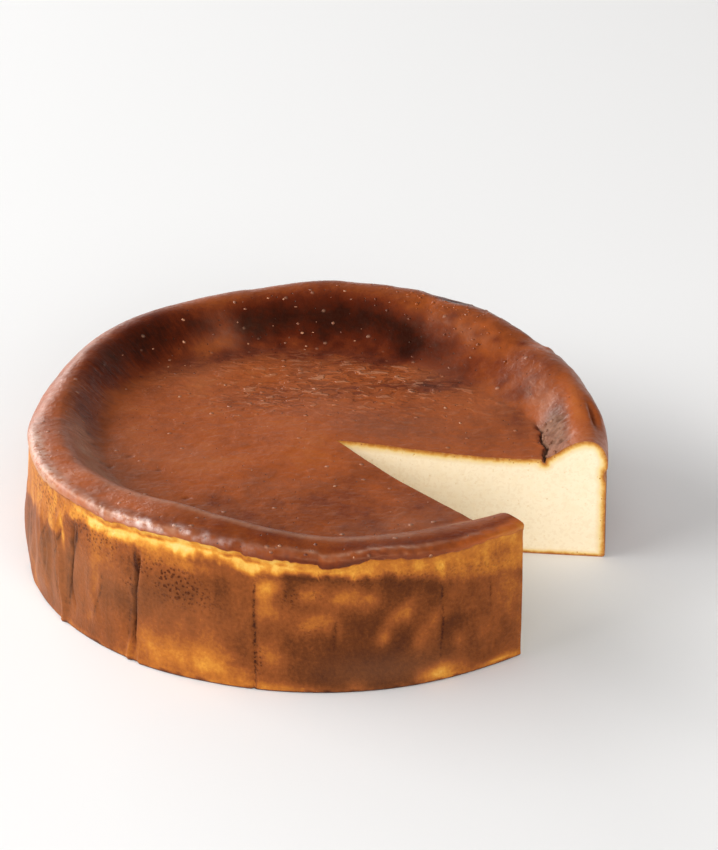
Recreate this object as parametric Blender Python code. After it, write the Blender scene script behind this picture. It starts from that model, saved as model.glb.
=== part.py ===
"""A basque burnt cheesecake, 23 cm across, with one eighth of it cut out.

It is one solid. Upright sections of the cake all start at one upright line, the tip of
the missing wedge, and go round from one cut to the other. Each section runs out over
the sunk centre and the raised rim, turns under the lip of the top crust, comes down the
side and goes back along the floor.
"""

from types import SimpleNamespace

import bmesh
import bpy
import numpy as np

for thing in list(bpy.data.objects):
    bpy.data.objects.remove(thing, do_unlink=True)

# Lengths are millimetres until the mesh is made. Directions are degrees anticlockwise
# from +X, seen from above, so that the front is -90 and the left is 180.
MM = 0.001

# Driving sizes
FOOT_RADIUS = 112.5
RIM_HEIGHT = 53.5
LIP_HEIGHT = 44.0
CENTRE_HEIGHT = 41.4
CREST_INSET = 12.0  # from the outline in to the rim's highest line
SLOPE_WIDTH = 20.0  # from the rim's highest line in to the sunk centre
SHOULDER_FULLNESS = 2.1  # 2 is an ellipse, more is squarer
FLOOR_EDGE = 1.0  # radius of the rounded edge at the floor
FLOOR_RING = 0.5  # where a ring of points lies under the cake, as a share of its radius

# The lip is the lower edge of the top crust, which hangs over a band in the side
LIP_THICKNESS = 1.4
LIP_UNDERCUT = 0.3  # how far in the lip's lower edge is, as a share of the band's depth
BAND_HEIGHT = 5.5
BAND_DEPTH = 1.2
BAND_TOP = 0.8  # below the lip
BAND_FLAT = 0.6  # where the band's depth ends, as a share of its height

# The missing wedge: the place of its tip and the directions of the two cuts from there
WEDGE_TIP = np.array([6.6, -12.8])
FIRST_CUT = -6.0
LAST_CUT = 309.5

# Steps from section to section and along each section
SECTION_SPACING = 3.0
CLOSE_SPACING = 1.5
CLOSE_STRETCHES = [(-6.0, 24.0), (198.0, 240.0)]  # at the tear and at the paper's folds
CENTRE_STEPS = 5
SLOPE_STEPS = 7
SHOULDER_STEPS = 6
SIDE_STEPS = 9
SHARP_ANGLE = np.radians(42.0)

# What changes round the cake is a base value and smooth bumps, each with its
# direction, its spread in degrees and its amount in millimetres.
OUTLINE_BUMPS = [(-90, 50, 2.8), (172, 25, -4.9), (14, 36, -4.6)]
CREST_INSET_BUMPS = [(-124, 24, 3.5), (-12, 30, -3.0)]
SLOPE_BUMPS = [(75, 45, 17.0), (180, 35, -2.0), (-14, 22, -7.0)]
CREST_BUMPS = [
    (-118, 24, 5.0),
    (-50, 18, -2.0),
    (-8, 22, -5.0),
    (29, 3, 0.8),
    (34, 11, -1.8),
    (63, 3, -0.9),
    (74, 30, 2.8),
    (172, 20, -1.4),
]
LIP_BUMPS = [
    (-168, 14, 3.5),
    (-146, 14, 2.5),
    (-118, 18, 4.2),
    (-90, 75, 6.5),
    (-52, 12, 1.5),
    (-8, 26, -9.5),
    (160, 22, -4.0),
]

# Fine waves on those values: how many go round the cake, where they start in degrees,
# and their amount
OUTLINE_WAVES = [(5, 40, 0.35)]
CREST_WAVES = [(9, 0, 0.3), (17, 0, 0.2)]
LIP_WAVES = [(13, 70, 0.4)]

# The sunk centre swells and dips: the middle in x and y, the spread and the amount
CENTRE_SWELLS = [(5, -8, 30, 2.6), (56, -66, 26, 1.6), (66, -14, 30, -1.5), (-50, 20, 40, 0.6)]

# At the right the crust has torn along the foot of the rim, which climbs straight from
# a sharp valley there. Broken crust stands in crags on the lower part of the climb.
TEAR_DIRECTION = -4.0
TEAR_SPREAD = 20.0
TEAR_DEPTH = 1.8
TEAR_WIDTH = 1.6
TEAR_CLIMB = 1.25  # 1 climbs straight from the valley, 2 starts level
CRAG_HEIGHT = 0.8
CRAG_SHARE = 0.45  # of the inner slope
CRAG_SEED = 4

# Upright folds that the baking paper pressed into the side: the direction at the floor,
# the degrees that it turns for each millimetre up, the half width in degrees, the depth
# in millimetres (a ridge is negative), and the heights between which it lies
FOLDS = [
    (-142.1, 0.10, 1.5, 1.9, 2.0, 49.0),
    (-144.2, -0.01, 1.3, -1.3, 8.0, 50.0),
    (-147.6, -0.05, 1.4, 1.0, 0.0, 38.0),
    (-151.0, -0.12, 1.6, -0.9, 6.0, 40.0),
    (-154.5, -0.15, 1.5, 0.9, 4.0, 36.0),
    (-124.6, 0.06, 1.4, 1.5, 0.0, 44.0),
    (-126.6, 0.02, 0.9, -0.7, -4.0, 12.0),
]
FOLD_FADE = 8.0  # millimetres over which a fold grows or dies out

# One turn of the paper lay over the next: the side steps out along a line and comes
# back over a wide stretch
STEP_DIRECTION = -123.6
STEP_TURN = 0.05
STEP_HEIGHT = 0.9
STEP_RISE = 1.2  # degrees
STEP_RUN = 14.0  # degrees
STEP_TOP = 48.0
STEP_FADE = 10.0

# The side leans in, and its lower half swells at the left
SIDE_LEAN = 1.6
BULGE_DIRECTION = -163.0
BULGE_SPREAD = 24.0
BULGE = 1.9
BULGE_HEIGHT = 16.0
BULGE_TALLNESS = 16.0


def turned(direction, middle):
    """Degrees from one direction to another, between -180 and 180."""
    return (direction - middle + 180.0) % 360.0 - 180.0


def bump(offset, spread):
    """A smooth bump of height 1 in the middle."""
    return np.exp(-((offset / spread) ** 2))


def smooth(share):
    """Goes from 0 to 1 with level ends."""
    share = np.clip(share, 0.0, 1.0)
    return share * share * (3.0 - 2.0 * share)


def varied(direction, base, bumps, waves=()):
    """A value that changes round the cake."""
    value = np.full_like(direction, base)
    for middle, spread, amount in bumps:
        value = value + amount * bump(turned(direction, middle), spread)
    for count, start, amount in waves:
        value = value + amount * np.sin(np.radians(count * direction + start))
    return value


def outline(direction):
    """Radius of the cake at the floor."""
    return varied(direction, FOOT_RADIUS, OUTLINE_BUMPS, OUTLINE_WAVES)


def centre_height(x, y):
    """Height of the sunk centre."""
    height = CENTRE_HEIGHT
    for middle_x, middle_y, spread, amount in CENTRE_SWELLS:
        height = height + amount * bump(np.hypot(x - middle_x, y - middle_y), spread)
    return height


def folds(direction, height):
    """How far the paper's folds push the side out, negative for inwards."""
    out = np.zeros_like(direction + height)
    for at_floor, turn, half_width, depth, low, high in FOLDS:
        ends = smooth((height - low) / FOLD_FADE) * smooth((high - height) / FOLD_FADE)
        out = out - depth * ends * bump(turned(direction, at_floor + turn * height), half_width)
    past = turned(direction, STEP_DIRECTION + STEP_TURN * height)
    step = np.clip(past / STEP_RISE, 0.0, 1.0) * np.clip(1.0 - past / STEP_RUN, 0.0, 1.0)
    return out + STEP_HEIGHT * step * smooth((STEP_TOP - height) / STEP_FADE)


def side_offset(direction, height):
    """How far the side lies out from the outline at the floor."""
    swell = BULGE * bump(turned(direction, BULGE_DIRECTION), BULGE_SPREAD)
    swell = swell * bump(height - BULGE_HEIGHT, BULGE_TALLNESS)
    return swell - SIDE_LEAN * height / LIP_HEIGHT + folds(direction, height)


def section_angles():
    """Directions of the sections from the wedge's tip."""
    angles = [FIRST_CUT]
    while angles[-1] < LAST_CUT:
        here = angles[-1]
        close = any(low <= here < high for low, high in CLOSE_STRETCHES)
        angles.append(here + (CLOSE_SPACING if close else SECTION_SPACING))
    angles[-1] = LAST_CUT
    return np.array(angles)


def rays(angles):
    """The sections' directions as unit vectors."""
    return np.stack([np.cos(np.radians(angles)), np.sin(np.radians(angles))])


def main_sizes(angles):
    """What fixes each section: where the cake's parts begin on it, and their heights."""
    out = np.full_like(angles, FOOT_RADIUS)
    for _ in range(12):  # each pass comes closer to where the ray meets the outline
        x, y = WEDGE_TIP[:, None] + out * rays(angles)
        direction = np.degrees(np.arctan2(y, x))
        out = out * outline(direction) / np.hypot(x, y)
    slope = varied(direction, SLOPE_WIDTH, SLOPE_BUMPS)
    crest_at = out - varied(direction, CREST_INSET, CREST_INSET_BUMPS)
    return SimpleNamespace(
        rays=rays(angles),
        direction=direction,
        out=out,
        slope=slope,
        crest_at=crest_at,
        foot_at=crest_at - slope,
        crest=varied(direction, RIM_HEIGHT, CREST_BUMPS, CREST_WAVES),
        lip=varied(direction, LIP_HEIGHT, LIP_BUMPS, LIP_WAVES),
        tear=bump(turned(direction, TEAR_DIRECTION), TEAR_SPREAD),
    )


def level_at(size, distance):
    """Height of the sunk centre along the sections, also where the rim lies on it."""
    return centre_height(*(WEDGE_TIP[:, None] + distance * size.rays))


def centre_points(size):
    """The sunk centre, out to the foot of the rim."""
    for share in np.linspace(0.0, 1.0, CENTRE_STEPS + 1)[1:]:
        distance = (size.foot_at - TEAR_WIDTH) * share
        yield distance, level_at(size, distance)


def slope_points(size):
    """The rim's inner slope: an S, or a straight climb with crags where it is torn."""
    chance = np.random.default_rng(CRAG_SEED)
    for share in np.linspace(0.0, 1.0, SLOPE_STEPS + 1):
        distance = size.foot_at + size.slope * share
        level = level_at(size, distance)
        climb = np.sin(share * np.pi / 2.0) ** TEAR_CLIMB
        rise = (1.0 - size.tear) * smooth(share) + size.tear * climb
        gash = TEAR_DEPTH * size.tear * (share == 0.0)
        crag = CRAG_HEIGHT * size.tear**2 * smooth(1.0 - share / CRAG_SHARE)
        crag = crag * chance.uniform(-1.0, 1.0, len(distance))
        yield distance, level + (size.crest - level) * rise - gash + crag


def shoulder_points(size, lip_at):
    """Over the rim, from its highest line to the lip."""
    power = 2.0 / SHOULDER_FULLNESS
    low = size.lip + LIP_THICKNESS
    for turn in np.linspace(0.0, np.pi / 2.0, SHOULDER_STEPS + 1)[1:]:
        across = np.sin(turn) ** power
        up = abs(np.cos(turn)) ** power
        yield size.crest_at + (lip_at - size.crest_at) * across, low + (size.crest - low) * up


def band_points(size, lip_at):
    """Under the lip and down the band."""
    yield lip_at - LIP_UNDERCUT * BAND_DEPTH, size.lip
    yield lip_at - BAND_DEPTH, size.lip - BAND_TOP
    yield lip_at - BAND_DEPTH, size.lip - BAND_FLAT * BAND_HEIGHT


def side_points(size):
    """Down the side, round the edge at the floor and back under the cake."""
    floor = np.zeros_like(size.out)
    side_top = size.lip - BAND_HEIGHT
    for share in np.linspace(1.0, 0.0, SIDE_STEPS + 1):
        height = FLOOR_EDGE + (side_top - FLOOR_EDGE) * share
        yield size.out + side_offset(size.direction, height), height
    foot = size.out + side_offset(size.direction, floor + FLOOR_EDGE)
    chamfer = FLOOR_EDGE * (1.0 - np.sqrt(0.5))  # the middle of the rounded edge
    yield foot - chamfer, floor + chamfer
    yield foot - FLOOR_EDGE, floor
    yield FLOOR_RING * size.out, floor


def sections(angles):
    """Distance from the tip and height of each point, one row for each section."""
    size = main_sizes(angles)
    lip_at = size.out + side_offset(size.direction, size.lip - BAND_HEIGHT)
    points = [*centre_points(size), *slope_points(size), *shoulder_points(size, lip_at)]
    points += [*band_points(size, lip_at), *side_points(size)]
    return np.array(points).transpose(2, 0, 1)


def build_cheesecake():
    """The solid: a net of quads over the sections, two fans at the tip, two cut faces."""
    angles = section_angles()
    bm = bmesh.new()
    tip_top = bm.verts.new((*(WEDGE_TIP * MM), centre_height(*WEDGE_TIP) * MM))
    tip_floor = bm.verts.new((*(WEDGE_TIP * MM), 0.0))
    rows = []
    for ray, section in zip(rays(angles).T, sections(angles)):
        row = []
        for distance, height in section:
            row.append(bm.verts.new((*((WEDGE_TIP + distance * ray) * MM), height * MM)))
        rows.append(row)
    for row, next_row in zip(rows, rows[1:]):
        bm.faces.new((tip_top, row[0], next_row[0]))
        bm.faces.new((tip_floor, next_row[-1], row[-1]))
        for i in range(len(row) - 1):
            bm.faces.new((row[i], row[i + 1], next_row[i + 1], next_row[i]))
    bm.faces.new([tip_floor, *reversed(rows[0]), tip_top])
    bm.faces.new([tip_top, *rows[-1], tip_floor])
    bmesh.ops.recalc_face_normals(bm, faces=bm.faces)
    bmesh.ops.triangulate(bm, faces=bm.faces, quad_method="SHORT_EDGE", ngon_method="BEAUTY")
    mesh = bpy.data.meshes.new("cheesecake")
    bm.to_mesh(mesh)
    bm.free()
    mesh.shade_smooth()
    mesh.set_sharp_from_angle(angle=SHARP_ANGLE)
    cake = bpy.data.objects.new("cheesecake", mesh)
    bpy.context.collection.objects.link(cake)
    return cake


def burnt_crust():
    """Oven-browned custard: a satin reddish brown."""
    material = bpy.data.materials.new("burnt crust")
    material.use_nodes = True
    shader = material.node_tree.nodes["Principled BSDF"]
    shader.inputs["Base Color"].default_value = (0.19, 0.052, 0.02, 1.0)
    shader.inputs["Roughness"].default_value = 0.45
    shader.inputs["Metallic"].default_value = 0.0
    return material


cheesecake = build_cheesecake()
cheesecake.data.materials.append(burnt_crust())
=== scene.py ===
# %% [markdown]
# # A basque burnt cheesecake, one eighth cut out
# A basque cheesecake is baked very hot in a tin lined with baking paper. The top goes
# dark and glossy, rises round the tin, and sinks in the middle as it cools. The side
# takes the folds of the paper and browns unevenly, and the inside stays pale.
#
# The cake is one body of custard, so it is made as one closed mesh with four finishes.
# The small things on it, such as burst bubbles and crumbs, are scattered over that mesh
# with Geometry Nodes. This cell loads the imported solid, which fixes frame and size.

# %% Load the frame
import math
from types import SimpleNamespace

import bmesh
import bpy
import numpy as np
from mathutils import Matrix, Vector
from mathutils.geometry import delaunay_2d_cdt


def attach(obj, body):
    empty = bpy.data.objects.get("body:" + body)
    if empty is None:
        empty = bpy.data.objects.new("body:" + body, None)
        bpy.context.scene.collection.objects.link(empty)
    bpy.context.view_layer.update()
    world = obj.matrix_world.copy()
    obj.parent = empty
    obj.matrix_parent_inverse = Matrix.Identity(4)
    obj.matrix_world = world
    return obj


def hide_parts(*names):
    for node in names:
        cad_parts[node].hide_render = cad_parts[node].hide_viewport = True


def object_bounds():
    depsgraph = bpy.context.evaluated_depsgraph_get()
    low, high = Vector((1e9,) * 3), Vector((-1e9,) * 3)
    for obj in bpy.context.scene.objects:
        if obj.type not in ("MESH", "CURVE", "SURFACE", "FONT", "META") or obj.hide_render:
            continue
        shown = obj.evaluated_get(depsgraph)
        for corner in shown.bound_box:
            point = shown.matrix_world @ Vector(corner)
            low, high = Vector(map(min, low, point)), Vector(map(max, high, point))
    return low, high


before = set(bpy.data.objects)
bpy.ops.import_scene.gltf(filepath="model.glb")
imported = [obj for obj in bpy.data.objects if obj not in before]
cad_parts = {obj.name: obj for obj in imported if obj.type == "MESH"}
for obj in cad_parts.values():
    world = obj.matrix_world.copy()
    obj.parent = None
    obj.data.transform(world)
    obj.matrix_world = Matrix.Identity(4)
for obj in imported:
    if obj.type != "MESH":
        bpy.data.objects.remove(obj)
CAD_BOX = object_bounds()
MM = 0.001
print("solid, mm:", [round((high - low) / MM, 1) for low, high in zip(*CAD_BOX)])

# %% [markdown]
# ## The camera
# The photograph was taken with a long lens from 30 degrees above level, so upright
# lines hardly converge. The camera looks along +Y. The cake stands left of and below the
# middle, and a lens shift gives that without turning the camera.

# %% Place the camera
CAMERA_DISTANCE = 0.92  # metres
CAMERA_ELEVATION = math.radians(30)

lens = bpy.data.cameras.new("camera")
lens.lens = 101.65
lens.shift_x = 0.0482
lens.shift_y = 0.1186
camera = bpy.data.objects.new("camera", lens)
sideways, upwards = math.cos(CAMERA_ELEVATION), math.sin(CAMERA_ELEVATION)
camera.location = (0, -CAMERA_DISTANCE * sideways, CAMERA_DISTANCE * upwards)
camera.rotation_euler = (math.pi / 2 - CAMERA_ELEVATION, 0, 0)
bpy.context.collection.objects.link(camera)
bpy.context.scene.camera = camera
print("camera at", [round(value, 3) for value in camera.location])

# %% [markdown]
# ## Values that change round the cake
# Nothing on a baked cake is round or level. As in the part's source, each size is a base
# value with smooth bumps, and each bump has its direction and spread in degrees and its
# amount in millimetres. Directions go anticlockwise from +X, so the front is -90 and the
# left is 180. From here on lengths are millimetres, until the mesh is made.

# %% Helpers for bumps
def turned(direction, middle):
    """Degrees from one direction to another, between -180 and 180."""
    return (direction - middle + 180) % 360 - 180


def bump(offset, spread):
    """A smooth bump of height 1 in the middle."""
    return np.exp(-((offset / spread) ** 2))


def smooth(share):
    """Goes from 0 to 1 with level ends."""
    share = np.clip(share, 0, 1)
    return share * share * (3 - 2 * share)


def varied(direction, base, bumps, waves=()):
    """A value that changes round the cake."""
    value = np.full_like(direction, base)
    for middle, spread, amount in bumps:
        value = value + amount * bump(turned(direction, middle), spread)
    for count, start, amount in waves:
        value = value + amount * np.sin(np.radians(count * direction + start))
    return value


# %% The cake's sizes
FOOT_RADIUS = 112.5
OUTLINE_BUMPS = [(-90, 50, 2.8), (172, 25, -4.9), (14, 36, -4.6), (-49, 8, 1.5)]
OUTLINE_WAVES = [(5, 40, 0.35)]  # how many go round, where they start, how high they are
RIM_HEIGHT = 53.5
CREST_BUMPS = [
    (-118, 24, 5), (-50, 18, -2), (-50, 6, 2.3), (-8, 22, -5), (29, 3, 0.2), (34, 11, -1.8),
    (63, 3, -0.9), (74, 30, 2.8), (172, 20, -1.4),
]
CREST_WAVES = [(9, 0, 0.3), (17, 0, 0.2)]
CREST_INSET = 12
CREST_INSET_BUMPS = [(-124, 24, 3.5), (-12, 30, -3), (-49, 8, -3.2)]
SLOPE_WIDTH = 20
SLOPE_BUMPS = [(75, 45, 17), (180, 35, -2), (-14, 22, -7)]
LIP_HEIGHT = 44
LIP_BUMPS = [
    (-168, 14, 3.5), (-146, 14, 2.5), (-118, 18, 4.2), (-90, 75, 6.5), (-52, 12, 1.5),
    (-8, 26, -9.5), (160, 22, -4),
]
LIP_WAVES = [(13, 70, 0.4)]
CENTRE_HEIGHT = 41.4
CENTRE_SWELLS = [(5, -8, 30, 2.6), (56, -66, 26, 1.6), (66, -14, 30, -1.5), (-50, 20, 40, 0.6)]


def outline(direction):
    """Radius of the cake at the floor."""
    return varied(direction, FOOT_RADIUS, OUTLINE_BUMPS, OUTLINE_WAVES)


def centre_height(x, y):
    """Height of the sunk centre, which swells and dips."""
    height = CENTRE_HEIGHT
    for middle_x, middle_y, spread, amount in CENTRE_SWELLS:
        height = height + amount * bump(np.hypot(x - middle_x, y - middle_y), spread)
    return height


round_the_cake = outline(np.arange(-180.0, 180.0))
print("radius, mm:", round_the_cake.min().round(1), "to", round_the_cake.max().round(1))

# %% [markdown]
# ## Natural unevenness
# A baked surface has lumps of every size. Those that show in the outline, in the shadows
# and in the exported mesh can't come from a shader. Here they come from a block of seeded
# random numbers, read with smooth steps between its cells.

# %% Random lumps
LATTICE = np.random.default_rng(11).uniform(-1, 1, (40, 40, 40))


def clouds(points, size, shift=0):
    """Random lumps of one size in millimetres, between -1 and 1. A shift gives others."""
    place = points / size + shift
    cell = np.floor(place).astype(int)
    part = smooth(place - cell)
    total = 0
    for corner in np.ndindex(2, 2, 2):
        weight = np.prod(np.where(corner, part, 1 - part), axis=-1)
        x, y, z = np.moveaxis((cell + corner) % len(LATTICE), -1, 0)
        total = total + weight * LATTICE[x, y, z]
    return total


def rough(points, size, shift=0, octaves=3):
    """Lumps with smaller lumps on them."""
    total = 0
    for octave in range(octaves):
        total = total + clouds(points, size / 2**octave, shift + 7.3 * octave) / 1.8**octave
    return total


sample = clouds(np.random.default_rng(1).uniform(-50, 50, (2000, 3)), 5)
print("lumps go from", sample.min().round(2), "to", sample.max().round(2))

# %% [markdown]
# ## The side, as the paper left it
# The lining paper of the tin never lies flat. Its creases stay in the side as upright
# folds, and where its ends overlap there is a step. Those that can be seen are given one
# by one. Round the back the folds are drawn at random with the same sizes.

# %% Folds of the paper
FOLDS = [  # direction at the floor, turn with height, half width, depth, low and high end
    (-140.7, 0.038, 0.42, 1.4, 6, 46), (-141.6, 0.038, 1.5, 0.7, 2, 45),
    (-143.3, -0.003, 0.55, -1.2, -6, 45.5), (-144.6, 0, 0.5, 0.5, 6, 44),
    (-147.4, -0.03, 1.4, 0.6, 0, 40), (-150, 0, 0.4, 0.55, 10, 40),
    (-151.8, -0.06, 1.3, -0.7, 4, 40), (-154.8, -0.08, 1.3, 0.7, 4, 36),
    (-159.6, 0.01, 0.6, 0.5, 12, 36), (-132.6, 0.02, 0.5, 0.4, 8, 36),
    (-135.6, 0.02, 1.2, 0.35, 4, 34), (-123.9, 0.018, 0.42, 1.3, 3, 47),
    (-125.4, 0.02, 1.5, 0.7, 4, 44), (-125.6, 0.1, 0.45, -0.9, -6, 13),
    (-100.85, 0, 0.3, 0.6, -6, 46), (-87.7, 0.03, 0.35, 0.35, 14, 34),
    (-68.3, 0, 0.35, 0.35, 6, 42), (-58.8, 0, 0.35, 0.25, 22, 40), (-163, 0.05, 2.6, 0.8, -2, 40),
    (-149, -0.05, 2, -0.7, 4, 42), (-156.5, -0.02, 1.6, -0.6, -2, 36),
    (-134, 0.02, 2.4, -0.5, 2, 40), (-81.4, 0, 0.3, 0.2, 24, 34),
]
FOLD_FADE = 8
HIDDEN_FOLDS = 17
HIDDEN_START, HIDDEN_SWEEP = 20, 172
STEP_DIRECTION = -123.7
STEP_TURN = 0.018
STEP_HEIGHT = 0.9
STEP_RISE = 0.5
STEP_RUN = 14
STEP_TOP = 48
STEP_FADE = 10
SIDE_LEAN = 1.6
BULGE = 2.2
BULGE_DIRECTION, BULGE_SPREAD = -163, 24
BULGE_HEIGHT, BULGE_TALLNESS = 16, 16
SWAY = 0.12
SWAY_BUMPS = [(-152, 16, 0.9), (-132, 10, 0.3), (70, 90, 0.5)]

chance = np.random.default_rng(23)
for number in range(HIDDEN_FOLDS):
    at_floor = HIDDEN_START + HIDDEN_SWEEP * (number + chance.uniform(0.1, 0.9)) / HIDDEN_FOLDS
    depth = chance.uniform(0.3, 0.9) * (1 if number % 3 else -1)
    half_width = chance.uniform(0.5, 1.5)
    turn = chance.uniform(-0.08, 0.08)
    FOLDS.append((at_floor, turn, half_width, depth, 0, chance.uniform(26, 44)))


def swayed(direction, height):
    """The direction, shifted to and fro up the side so that no fold is quite straight."""
    wide = np.sin(height / 7 + direction / 9)
    narrow = np.sin(height / 3.7 - direction / 5)
    return direction + varied(direction, SWAY, SWAY_BUMPS) * (wide + 0.5 * narrow)


def fold_ends(height, low, high):
    """1 along a fold, fading out at both ends."""
    return smooth((height - low) / FOLD_FADE) * smooth((high - height) / FOLD_FADE)


def folds(direction, height):
    """How far the paper's folds push the side out, negative for inwards."""
    direction = swayed(direction, height)
    out = np.zeros_like(direction + height)
    for at_floor, turn, half_width, depth, *ends in FOLDS:
        across = turned(direction, at_floor + turn * height)
        out = out - depth * fold_ends(height, *ends) * bump(across, half_width)
    past = turned(direction, STEP_DIRECTION + STEP_TURN * height)
    step = np.clip(past / STEP_RISE, 0, 1) * np.clip(1 - past / STEP_RUN, 0, 1)
    return out + STEP_HEIGHT * step * smooth((STEP_TOP - height) / STEP_FADE)


def side_offset(direction, height):
    """How far the side lies out from the outline at the floor."""
    swell = BULGE * bump(turned(direction, BULGE_DIRECTION), BULGE_SPREAD)
    swell = swell * bump(height - BULGE_HEIGHT, BULGE_TALLNESS)
    return swell - SIDE_LEAN * height / LIP_HEIGHT + folds(direction, height)


print(len(FOLDS), "folds")

# %% [markdown]
# ## The cake as a net of sections
# The cake could be turned and then cut, but its rim, slope and side change all round, and
# the cuts must be clean. So upright sections go round from one cut to the other, like the
# pages of an open book, and all start at the wedge's tip. Each runs over the sunk centre,
# up the rim, round the shoulder to the lip of the crust, and down the side to the floor.
# They lie closer where the cake is finest.

# %% The sections' directions
WEDGE_TIP = np.array([6.6, -12.8])
FIRST_CUT = -6
LAST_CUT = 309.5
CELLS_ROUND = 640
CLOSE_STRETCHES = [(-6, 18, 1.6), (196, 244, 0.7), (244, 309.5, 0.25)]


def rays(angles):
    """Directions as unit vectors."""
    return np.stack([np.cos(np.radians(angles)), np.sin(np.radians(angles))])


trial = np.linspace(FIRST_CUT, LAST_CUT, 4001)
density = np.ones_like(trial)
for low, high, more in CLOSE_STRETCHES:
    density = density + more * ((trial >= low) & (trial <= high))
reached = np.cumsum(density) - density[0]
angles = np.interp(np.linspace(0, 1, CELLS_ROUND + 1), reached / reached[-1], trial)
apart = np.diff(angles)
print("sections are", apart.min().round(2), "to", apart.max().round(2), "degrees apart")

# %% [markdown]
# At the right the crust tore as the middle sank. The tear is a sharp valley along the
# foot of the rim, with a ragged edge and broken crust on the climb. The lip of the crust
# is ragged too: it hangs over the paler side in small steps.

# %% Main sizes of each section
TEAR_DIRECTION, TEAR_SPREAD = -4, 20
TEAR_DEPTH = 1.8
TEAR_WIDTH = 1.6
TEAR_CLIMB = 1.25
TEAR_WANDER = 0.9  # how far the ragged edge strays
CRACK_DIRECTION = -13.5
CRACK_LENGTH = 22.5
CRACK_FADE = 9
FOOT_SHIFTS = [(8, 9, 2.6), (-14, 7, -2.2)]
BAND_DEPTH = 0.85
BAND_DEPTH_BUMPS = [(-112, 20, 0.5), (-152, 15, -0.6), (-54, 14, -0.6), (-82, 6, 0.2)]
FULLNESS = 2.1
FULLNESS_BUMPS = [(-50, 16, 1.3)]
LATE_ROLL = [(-120, 42, 1)]
LIP_CHIPS = 0.38
LIP_STEPS = [(-103.2, 0.7), (-97.6, -0.5), (-95, 0.6), (-89.8, 2), (-81.5, -1), (-66.5, 0.5)]
STEP_SHARP, STEP_LONG = 0.5, 9  # degrees


def main_sizes(angles):
    """What fixes each section: where the cake's parts begin on it, and their heights."""
    out = np.full_like(angles, FOOT_RADIUS)
    for _ in range(12):  # each pass comes closer to where the ray meets the outline
        x, y = WEDGE_TIP[:, None] + out * rays(angles)
        direction = np.degrees(np.arctan2(y, x))
        out = out * outline(direction) / np.hypot(x, y)
    crack = smooth((CRACK_LENGTH - abs(turned(direction, CRACK_DIRECTION))) / CRACK_FADE)
    slope = varied(direction, SLOPE_WIDTH, SLOPE_BUMPS)
    crest_at = out - varied(direction, CREST_INSET, CREST_INSET_BUMPS)
    ring = np.stack([*rays(direction) * FOOT_RADIUS, np.zeros_like(direction)], axis=-1)
    crest = varied(direction, RIM_HEIGHT, CREST_BUMPS, CREST_WAVES)
    ragged = rough(ring, 4, 3, 4) * TEAR_WANDER * crack + varied(direction, 0, FOOT_SHIFTS)
    even_lip = varied(direction, LIP_HEIGHT, LIP_BUMPS, LIP_WAVES) + 0.3 * clouds(ring, 9, 5)
    chips = LIP_CHIPS * (rough(ring, 4, 5, 2) + rough(ring, 2.3, 9, 2))
    lip = even_lip + np.clip(chips, -0.7, 0.4)
    for middle, amount in LIP_STEPS:  # each step is sharp on one side and dies out on the other
        past = turned(direction, middle)
        fade = smooth(1 - past / STEP_LONG)
        lip = lip - amount * smooth(past / STEP_SHARP + 0.5) * fade
        even_lip = even_lip - amount * smooth(past / STEP_LONG + 0.5) * fade
    return SimpleNamespace(
        rays=rays(angles),
        direction=direction,
        out=out,
        tear=bump(turned(direction, TEAR_DIRECTION), TEAR_SPREAD),
        crack=crack,
        band_depth=varied(direction, BAND_DEPTH, BAND_DEPTH_BUMPS),
        fullness=varied(direction, FULLNESS, FULLNESS_BUMPS),
        late=varied(direction, 0, LATE_ROLL),
        crest_at=crest_at,
        foot_at=crest_at - slope + ragged,
        crest=crest + 0.15 * rough(ring, 9, 1),
        lip=lip,
        even_lip=even_lip,
    )


size = main_sizes(angles)
print("lip from", size.lip.min().round(1), "to", size.lip.max().round(1), "mm high")

# %% [markdown]
# Each part of a section has a function that gives its points, from the inside out, as
# distances from the wedge's tip and heights. The slope is an S, and the shoulder a
# superellipse, because one number then makes it as full as the real one.

# %% Points along each section
LIP_THICKNESS = 1
ROLL_WIDTH = 5
ROLL_FALL = 0.15
BAND_HEIGHT = 5.5
UNDER_LIP = [  # share of the band's depth, and height above the lip's lower edge
    (0, 0.45), (0.3, 0), (1, -0.8), (1, -2.2), (1, -3.3), (0.6, -4.4),
]
FLOOR_EDGE = 1
CENTRE_STEPS = 74
SLOPE_STEPS = 24
SHOULDER_STEPS = 16
SIDE_STEPS = 42


def level_at(size, distance):
    """Height of the sunk centre along the sections, also where the rim lies on it."""
    return centre_height(*(WEDGE_TIP[:, None] + distance * size.rays))


def centre_points(size):
    """The sunk centre, out to the foot of the rim."""
    for share in np.linspace(0, 1, CENTRE_STEPS + 1)[1:]:
        distance = (size.foot_at - TEAR_WIDTH) * share
        yield distance, level_at(size, distance)


def slope_points(size):
    """The rim's inner slope: an S, or a straight climb from a valley where it is torn."""
    valley = size.foot_at - 0.5 * TEAR_WIDTH
    yield valley, level_at(size, size.foot_at) - 0.8 * TEAR_DEPTH * size.crack
    for share in np.linspace(0, 1, SLOPE_STEPS + 1):
        distance = size.foot_at + (size.crest_at - size.foot_at) * share
        level = level_at(size, distance)
        climb = np.sin(share * np.pi / 2) ** TEAR_CLIMB
        rise = (1 - size.tear) * smooth(share) + size.tear * climb
        gash = TEAR_DEPTH * size.crack * (share == 0)
        yield distance, level + (size.crest - level) * rise - gash


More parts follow.
